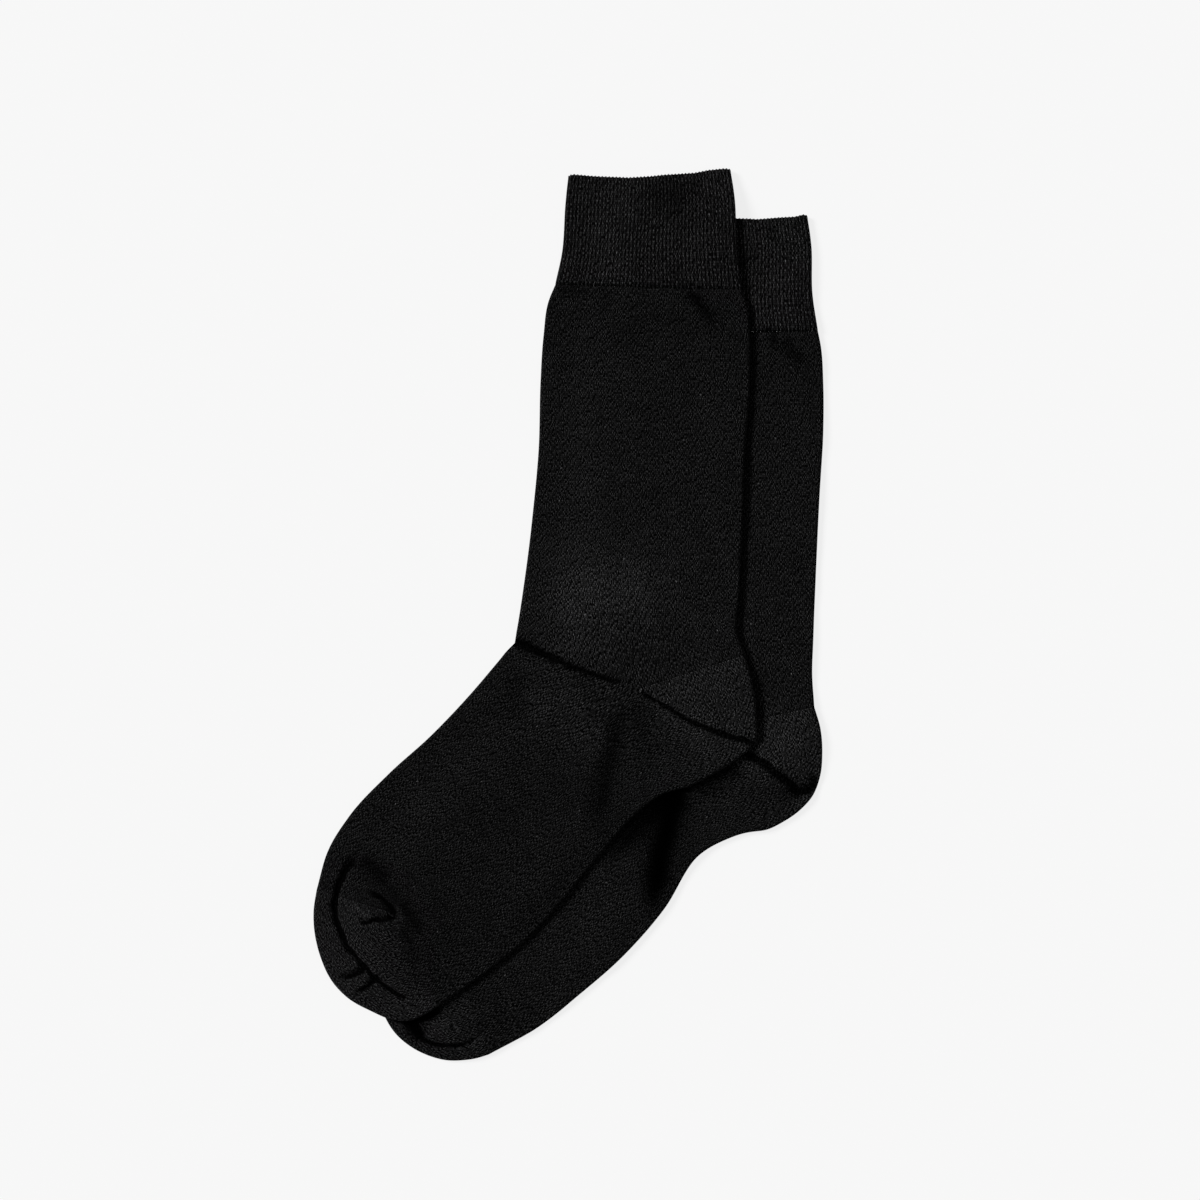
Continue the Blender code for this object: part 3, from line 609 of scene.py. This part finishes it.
def inside_of(grid, normals, wall, top_columns):
    """The inside of the wall, on fewer points, kept below every fold that presses into the top."""
    inner = grid - normals * wall
    top = inner[:, :top_columns, 2]
    top[:] = lowest_near(lowest_near(top, INNER_ROW_SKIP, 0), INNER_SKIP, 1)
    return inner[::INNER_ROW_SKIP, ::INNER_SKIP]


def quads(rows, columns, closed, start=0):
    """Corner numbers of a grid's faces, turned to face out."""
    count = columns if closed else columns - 1
    row = np.arange(rows - 1)[:, None] * columns
    here = np.arange(count)[None, :]
    beside = (here + 1) % columns
    corners = (row + here, row + columns + here, row + columns + beside, row + beside)
    corners = [np.broadcast_to(corner, (rows - 1, count)) for corner in corners]
    return start + np.stack(corners, axis=-1).reshape(-1, 4)


def edge_faces(outer, inner, skip):
    """Faces that close a wall's edge, from a run of outer points to fewer inner ones."""
    faces = []
    for index in range(len(inner) - 1):
        run = outer[index * skip:(index + 1) * skip + 1]
        faces.append(list(run) + [inner[index + 1], inner[index]])
    return faces


def cloth(name, grid, stitches, closed, top_columns, wall, relief, sock, material, kept_by_row=1.0):
    """A knitted piece: an outer surface with its stitch columns, and a wall beneath it."""
    rows, columns = grid.shape[:2]
    normals = outward(grid, closed, top_columns)
    outer = grid + normals * relief[..., None]
    inner = inside_of(grid, normals, wall, top_columns)
    inner_rows, inner_columns = inner.shape[:2]
    start = rows * columns
    outer_numbers = np.arange(start).reshape(rows, columns)
    inner_numbers = start + np.arange(inner_rows * inner_columns).reshape(inner_rows, inner_columns)
    if closed:
        outer_numbers = np.concatenate((outer_numbers, outer_numbers[:, :1]), axis=1)
        inner_numbers = np.concatenate((inner_numbers, inner_numbers[:, :1]), axis=1)
    faces = quads(rows, columns, closed).tolist()
    faces += quads(inner_rows, inner_columns, closed, start)[:, ::-1].tolist()
    faces += edge_faces(outer_numbers[0], inner_numbers[0], INNER_SKIP)
    faces += edge_faces(outer_numbers[-1, ::-1], inner_numbers[-1, ::-1], INNER_SKIP)
    if not closed:
        faces += edge_faces(outer_numbers[::-1, 0], inner_numbers[::-1, 0], INNER_ROW_SKIP)
        faces += edge_faces(outer_numbers[:, -1], inner_numbers[:, -1], INNER_ROW_SKIP)
    mesh = bpy.data.meshes.new(name)
    points = np.concatenate((outer.reshape(-1, 3), inner.reshape(-1, 3)))
    mesh.from_pydata(points.tolist(), [], faces)
    mesh.update()
    mesh.shade_smooth()
    inner_stitches = stitches[::INNER_ROW_SKIP, ::INNER_SKIP]
    lay_out_stitches(mesh, np.concatenate((stitches.reshape(-1, 2), inner_stitches.reshape(-1, 2))))
    # Painted shade and highlights: the inside of the wall is painted darker, and the outside gets the painted
    # shading of folds and table, times the heel's yarn blend by row
    kept = np.full(len(points), INSIDE_PAINTED_SHADE)
    shaded = painted_shading(outer.reshape(-1, 3)[:, :2], sock).reshape(rows, columns)
    kept[:start] = (shaded * np.reshape(kept_by_row, (-1, 1))).ravel()
    mesh.attributes.new("PaintedShading", "FLOAT", "POINT").data.foreach_set("value", kept.astype(np.float32))
    mesh.materials.append(material)
    piece = bpy.data.objects.new(name, mesh)
    bpy.context.scene.collection.objects.link(piece)
    return piece


def lay_out_stitches(mesh, stitches):
    """A UV map that counts stitch columns across and rows of stitches along."""
    layer = mesh.uv_layers.new(name="Stitches")
    corners = np.zeros(len(mesh.loops), dtype=np.int32)
    mesh.loops.foreach_get("vertex_index", corners)
    layer.data.foreach_set("uv", stitches[corners].astype(np.float32).ravel())


def plain_relief(wales):
    """A stitch column's rounded back, with a groove on each side."""
    return -WALE_RELIEF * np.cos(2 * math.pi * wales)


def rib_relief(wales):
    """One stitch column raised and the next one sunk."""
    wave = np.sin(math.pi * wales)
    return RIB_RELIEF * np.sign(wave) * np.abs(wave) ** RIB_ROUNDNESS


# ---------- Materials ----------
class Graph:
    """Short ways to add nodes to a material."""

    def __init__(self, material):
        material.use_nodes = True
        self.nodes = material.node_tree.nodes
        self.links = material.node_tree.links

    def add(self, kind, inputs=(), **settings):
        node = self.nodes.new(kind)
        for key, value in settings.items():
            setattr(node, key, value)
        for socket, value in inputs:
            if isinstance(value, bpy.types.NodeSocket):
                self.links.new(value, node.inputs[socket])
            else:
                node.inputs[socket].default_value = value
        return node

    def math(self, operation, *values):
        return self.add("ShaderNodeMath", enumerate(values), operation=operation).outputs[0]

    def pair(self, x, y):
        return self.add("ShaderNodeCombineXYZ", (("X", x), ("Y", y))).outputs[0]


RIB_COLOUR = 0.0090
PLAIN_COLOUR = 0.0062
HEEL_TOE_COLOUR = 0.0097
BLUER = 1.02                 # the yarn's blue is this much more than its red and green
ROUGH = 0.95
SHEEN = 0.015                # light that the yarn's fuzz catches at a low angle
SHEEN_ROUGH = 0.4

LEG_SLANT = 1.2              # rows of stitches that a stitch's leg climbs in the width of a stitch
LEG_ROUNDNESS = 2.0          # more makes a leg's back flatter across
LEG_FULLNESS = 3.0           # and along
LEG_PAINTED_HIGHLIGHT = 2.1              # painted highlight: how much lighter a leg's back is painted than the gap beside it
# painted shade: the share of the colour left in the gap
GAP_PAINTED_SHADE = 0.05
BUMP_STRENGTH = 0.5
BUMP_HEIGHT = 0.2 * MM

YARN_SPREAD = 2.6            # how much lighter or darker one leg of a stitch is than the next
RIB_SPREAD = 2.9
FEW_LIGHT = 2.0              # more makes the light legs fewer
YARN_MEAN = 0.95
DARKEST_YARN = 0.08
FUZZ_FINENESS = 4.0          # patches of fuzz across a stitch
FUZZ_CHANGE = (3.4, -0.7)    # a change of tone is a gain on a pattern and then an offset
BLOTCHES = (0.13, 0.16)      # patches to a stitch column and to a row of stitches
BLOTCH_CHANGE = (0.6, 0.7)
BLOTCH_DETAIL = 3.0
BLOTCH_ROUGHNESS = 0.6
BARS = (0.06, 0.7)           # and of faint bars along the rows
BAR_CHANGE = (0.4, 0.8)
LINT_FROM = 0.9997           # a speck of lint lies where a leg's chance is above this
LINT = 5.0
RIB_PAINTED_SHADE = (0.46, 0.80)    # painted shade in the groove between ribs, painted highlight on a rib's back
YARN_CHANGE = 0.34           # a heel's yarn is that much darker where it meets the foot
HEEL_BLEND = 30.0 * MM


def scaled_noise(graph, wale, row, across, along, **sockets):
    """A soft noise with so many patches to a stitch column and to a row of stitches."""
    place = graph.pair(graph.math("MULTIPLY", wale, across), graph.math("MULTIPLY", row, along))
    inputs = [("Vector", place), ("Scale", 1.0)] + list(sockets.items())
    return graph.add("ShaderNodeTexNoise", inputs, noise_dimensions="2D").outputs[0]


def stitch_leg(graph, from_middle, slanted):
    """How high the yarn stands: two slanting legs to a stitch, with a gap between."""
    run = graph.math
    side = run("ABSOLUTE", run("DIVIDE", run("SUBTRACT", from_middle, 0.25), 0.25))
    end = run("ABSOLUTE", run("SUBTRACT", run("MULTIPLY", run("FRACT", slanted), 2.0), 1.0))
    across, along = run("POWER", side, LEG_ROUNDNESS), run("POWER", end, LEG_FULLNESS)
    return run("MULTIPLY", run("SUBTRACT", 1.0, across), run("SUBTRACT", 1.0, along))


def leg_chance(graph, wale, slanted, across_by, up_by):
    """A random number for each leg of a stitch, or for the one that lies so far across and up."""
    run = graph.math
    number, height = run("FLOOR", run("MULTIPLY", wale, 2.0)), run("FLOOR", slanted)
    place = graph.pair(run("ADD", number, across_by), run("ADD", height, up_by))
    return graph.add("ShaderNodeTexWhiteNoise", (("Vector", place),), noise_dimensions="2D").outputs["Value"]


def uneven_yarn(graph, wale, row, slanted, spread):
    """How light each leg is, next to the legs beside and above it, with its fuzz and lint."""
    run = graph.math
    chance = leg_chance(graph, wale, slanted, 0.0, 0.0)
    light = run("POWER", chance, FEW_LIGHT)
    beside = run("POWER", leg_chance(graph, wale, slanted, 1.0, 0.0), FEW_LIGHT)
    above = run("POWER", leg_chance(graph, wale, slanted, 0.0, 1.0), FEW_LIGHT)
    around = run("MULTIPLY", run("ADD", beside, above), 0.5)
    varied = run("MULTIPLY_ADD", run("SUBTRACT", light, around), spread, YARN_MEAN)
    fuzz = scaled_noise(graph, wale, row, FUZZ_FINENESS, FUZZ_FINENESS, Detail=1.0)
    varied = run("MULTIPLY", run("MAXIMUM", varied, DARKEST_YARN), run("MULTIPLY_ADD", fuzz, *FUZZ_CHANGE))
    return run("ADD", varied, run("MULTIPLY", run("GREATER_THAN", chance, LINT_FROM), LINT))


def mottling(graph, wale, row):
    """Soft blotches, and faint bars along the rows, from one stretch of yarn to the next."""
    run = graph.math
    blotches = scaled_noise(graph, wale, row, *BLOTCHES, Detail=BLOTCH_DETAIL, Roughness=BLOTCH_ROUGHNESS)
    bars = scaled_noise(graph, wale, row, *BARS, Detail=1.0)
    blotched, barred = run("MULTIPLY_ADD", blotches, *BLOTCH_CHANGE), run("MULTIPLY_ADD", bars, *BAR_CHANGE)
    return run("MULTIPLY", blotched, barred)


def knit_material(name, colour, ribbed):
    """Knitted cotton yarn: two slanting legs to a stitch, every leg a little lighter or darker, with painted
    shade and highlights.
    """
    material = bpy.data.materials.new(name)
    graph = Graph(material)
    run = graph.math
    layout = graph.add("ShaderNodeUVMap", uv_map="Stitches")
    split = graph.add("ShaderNodeSeparateXYZ", (("Vector", layout.outputs[0]),))
    wale, row = split.outputs[0], split.outputs[1]
    from_middle = run("ABSOLUTE", run("SUBTRACT", run("FRACT", wale), 0.5))
    slanted = run("ADD", row, run("MULTIPLY", from_middle, LEG_SLANT))

    leg = stitch_leg(graph, from_middle, slanted)
    yarn = uneven_yarn(graph, wale, row, slanted, RIB_SPREAD if ribbed else YARN_SPREAD)
    # The point attribute's painted shade and highlights, times the yarn's random blotches
    kept = graph.add("ShaderNodeAttribute", attribute_name="PaintedShading").outputs["Fac"]
    mottling_and_painted_shade = run("MULTIPLY", mottling(graph, wale, row), kept)
    # Painted highlight on each leg's back and painted shade in the gaps between legs
    factor = run("MULTIPLY", run("MULTIPLY_ADD", leg, LEG_PAINTED_HIGHLIGHT, GAP_PAINTED_SHADE), mottling_and_painted_shade)
    factor = run("MULTIPLY", factor, yarn)
    if ribbed:
        # Painted shade in the grooves between ribs and painted highlight on their backs
        wave = run("SINE", run("MULTIPLY", wale, math.pi))
        factor = run("MULTIPLY", factor, run("MULTIPLY_ADD", wave, *RIB_PAINTED_SHADE))
    black = run("MULTIPLY", factor, colour)
    blue = run("MULTIPLY", factor, colour * BLUER)
    tint = graph.add("ShaderNodeCombineColor", (("Red", black), ("Green", black), ("Blue", blue)))
    relief = (("Strength", BUMP_STRENGTH), ("Distance", BUMP_HEIGHT), ("Height", leg))
    bump = graph.add("ShaderNodeBump", relief)

    shader = graph.nodes["Principled BSDF"]
    graph.links.new(tint.outputs[0], shader.inputs["Base Color"])
    graph.links.new(bump.outputs[0], shader.inputs["Normal"])
    shader.inputs["Roughness"].default_value = ROUGH
    shader.inputs["Specular IOR Level"].default_value = 0.0
    shader.inputs["Sheen Weight"].default_value = SHEEN
    shader.inputs["Sheen Roughness"].default_value = SHEEN_ROUGH
    return material


YARNS = {
    "rib_knit": knit_material("rib_knit", RIB_COLOUR, True),
    "plain_knit": knit_material("plain_knit", PLAIN_COLOUR, False),
    "heel_toe_knit": knit_material("heel_toe_knit", HEEL_TOE_COLOUR, False),
}


# ---------- The socks ----------
def column_places(per_wale):
    """Column places from a layer's folded edge to its middle, so many to a stitch column."""
    return np.linspace(0.0, 1.0, WALES_HALF * per_wale + 1)


def tube(name, rows, per_wale, course, shape, wall, relief_of, material, top_edge=None):
    """A cuff, a leg or a foot."""
    sections, places = lengthwise(rows, ROW_STEP)
    top, bottom = (column_places(count) for count in per_wale)
    grid, wales = ring_grid(sections, top, bottom, shape)
    if top_edge:
        shape_ends(grid, wales, places, top_edge)
    stitches = np.stack(np.broadcast_arrays(wales[None, :], (places / course)[:, None]), axis=-1)
    relief = np.broadcast_to(relief_of(wales)[None, :], grid.shape[:2])
    return cloth(name, grid, stitches, True, 2 * len(top) - 1, wall, relief, shape[0], material)


def shape_ends(grid, wales, places, top_edge):
    """A cuff's uneven top edge, and the scallops that its ribs make at both ends."""
    edge = dict(zip(EDGE_COLUMNS, np.array(top_edge).T * MM))
    rise = np.interp(grid[0, :, 0], edge["x"], edge["rise"])
    grid[..., 1] += ease(1 - places / TOP_EDGE_RUN)[:, None] * rise
    scallop = SCALLOP * np.sin(math.pi * wales)
    grid[0, :, 1] += scallop
    grid[-1, :, 1] -= scallop


def pocket(name, corner, first, last, rim, shape, material, blend=None):
    """A heel or a toe: a fan of half sections about the gore's inner end."""
    rim, places = around_rim(rim, POCKET_STEP)
    inner = np.repeat(corner[None], len(rim), axis=0)
    inner[0], inner[-1] = first[0], last[0]
    rim[0], rim[-1] = first[1], last[1]
    towards = rim - inner
    inner = inner + POCKET_TIP * towards / np.linalg.norm(towards, axis=1, keepdims=True)
    top, bottom = (column_places(count) for count in PLAIN_DETAIL)
    grid, wales = fan_grid(inner, rim, top, bottom, shape)
    share = 1 - np.abs(wales / WALES_HALF - 1)
    mitred = np.minimum(places, places[-1] - places) / COURSE
    stitches = np.stack(np.broadcast_arrays(wales[None, :], mitred[:, None] * share[None, :]), axis=-1)
    relief = np.broadcast_to(plain_relief(wales)[None, :], grid.shape[:2])
    kept = 1 - YARN_CHANGE * ease(1 - (places[-1] - places) / blend) if blend else 1.0
    return cloth(name, grid, stitches, False, len(top), WALL, relief, shape[0], material, kept)


def make_sock(side, sock, support):
    """All five pieces of a sock."""
    rib, plain, pocket_knit = YARNS.values()
    cuff, leg, foot = (section_array(sock[part]) for part in ("cuff", "leg", "foot"))
    ankle, heel_end, toe_line = leg[-1].copy(), foot[0].copy(), foot[-1].copy()
    cuff[-1] = moved_across(leg[0], HEM_JOIN)
    leg[-1] = moved_across(ankle, JOIN / 2)
    foot[0] = moved_across(heel_end, -JOIN / 2)
    foot[-1] = moved_across(toe_line, JOIN / 2)
    heel_first = moved_across(ankle, -JOIN / 2)[1:]
    heel_last = moved_across(heel_end, JOIN / 2)[1:]
    toe_ends = moved_across(toe_line, -JOIN / 2)
    cuff_shape = (sock, support, CUFF_FLAT, RIB_RELIEF)
    shape = (sock, support, FLAT, PLAIN_LIFT)
    return {
        "cuff": tube(side + "_cuff_shell", cuff, RIB_DETAIL, CUFF_COURSE, cuff_shape, CUFF_WALL, rib_relief,
                     rib, sock["top_edge"]),
        "leg": tube(side + "_leg_shell", leg, PLAIN_DETAIL, COURSE, shape, WALL, plain_relief, plain),
        "heel": pocket(side + "_heel_shell", ankle[1], heel_first, heel_last, sock["heel_rim"], shape,
                       pocket_knit, HEEL_BLEND),
        "foot": tube(side + "_foot_shell", foot, PLAIN_DETAIL, COURSE, shape, WALL, plain_relief, plain),
        "toe": pocket(side + "_toe_shell", toe_line[1], toe_ends[1:], toe_ends[1::-1], sock["toe_rim"], shape,
                      pocket_knit),
    }


socks = {"lower": make_sock("lower", LOWER, None), "upper": make_sock("upper", UPPER, LOWER)}


# ---------- The table under the socks ----------
FLOOR_SIDE = 6.0
BACKDROP = 0.93              # the pale backdrop's brightness
FLOOR_COLOUR = 0.12          # how much of it is light sent back, which holds a faint shadow
FLOOR_LIGHT = 0.95           # how brightly the lights fall on it
FLOOR_GAP = 0.05 * MM

floor_mesh = bpy.data.meshes.new("floor")
half = FLOOR_SIDE / 2
floor_mesh.from_pydata([(-half, -half, 0), (half, -half, 0), (half, half, 0), (-half, half, 0)], [],
                       [(0, 1, 2, 3)])
floor = bpy.data.objects.new("floor", floor_mesh)
floor.location.z = -FLOOR_GAP
bpy.context.scene.collection.objects.link(floor)
paper = bpy.data.materials.new("paper")
paper.use_nodes = True
paper_shader = paper.node_tree.nodes["Principled BSDF"]
paper_shader.inputs["Base Color"].default_value = (FLOOR_COLOUR, FLOOR_COLOUR, FLOOR_COLOUR, 1)
paper_shader.inputs["Roughness"].default_value = 1.0
paper_shader.inputs["Specular IOR Level"].default_value = 0.0
paper_shader.inputs["Emission Color"].default_value = (1, 1, 1, 1)
paper_shader.inputs["Emission Strength"].default_value = BACKDROP - FLOOR_COLOUR * FLOOR_LIGHT
floor_mesh.materials.append(paper)


# ---------- Each piece hangs from the root body, and its CAD part is hidden ---
for side, pieces in socks.items():
    for part, piece in pieces.items():
        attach(piece, "root")
        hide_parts(side + "_" + part)


# ---------- Camera and light ----------
VIEW_WIDTH = 600.0 * MM      # the picture's width at the socks
VIEW_MIDDLE = (15.75 * MM, 7.0 * MM)
VIEW_PLANE = 3.0 * MM        # height at which the picture is that wide
LENS_MM = 85.0
camera_data = bpy.data.cameras.new("camera")
camera_data.lens = LENS_MM
camera = bpy.data.objects.new("camera", camera_data)
camera.location = (*VIEW_MIDDLE, VIEW_WIDTH * LENS_MM / camera_data.sensor_width + VIEW_PLANE)
bpy.context.scene.collection.objects.link(camera)
bpy.context.scene.camera = camera

DOME = 0.26                  # light from all round
KEY = 3.95                   # light from the upper left
KEY_SPREAD = math.radians(20)
KEY_HEIGHT = math.radians(34)
KEY_SIDE = math.radians(157)

world = bpy.data.worlds.new("studio")
bpy.context.scene.world = world
world.use_nodes = True
world_nodes = world.node_tree.nodes
dome = world_nodes["Background"]
dome.inputs["Color"].default_value = (1, 1, 1, 1)
seen = world_nodes.new("ShaderNodeLightPath")
mix = world_nodes.new("ShaderNodeMix")
mix.inputs["A"].default_value = DOME
mix.inputs["B"].default_value = BACKDROP
world.node_tree.links.new(seen.outputs["Is Camera Ray"], mix.inputs[0])
world.node_tree.links.new(mix.outputs[0], dome.inputs["Strength"])

key_data = bpy.data.lights.new("key", "SUN")
key_data.energy = KEY
key_data.angle = KEY_SPREAD
key = bpy.data.objects.new("key", key_data)
key.rotation_euler = (0, math.pi / 2 - KEY_HEIGHT, KEY_SIDE)
bpy.context.scene.collection.objects.link(key)
bpy.context.scene.view_settings.view_transform = "Standard"
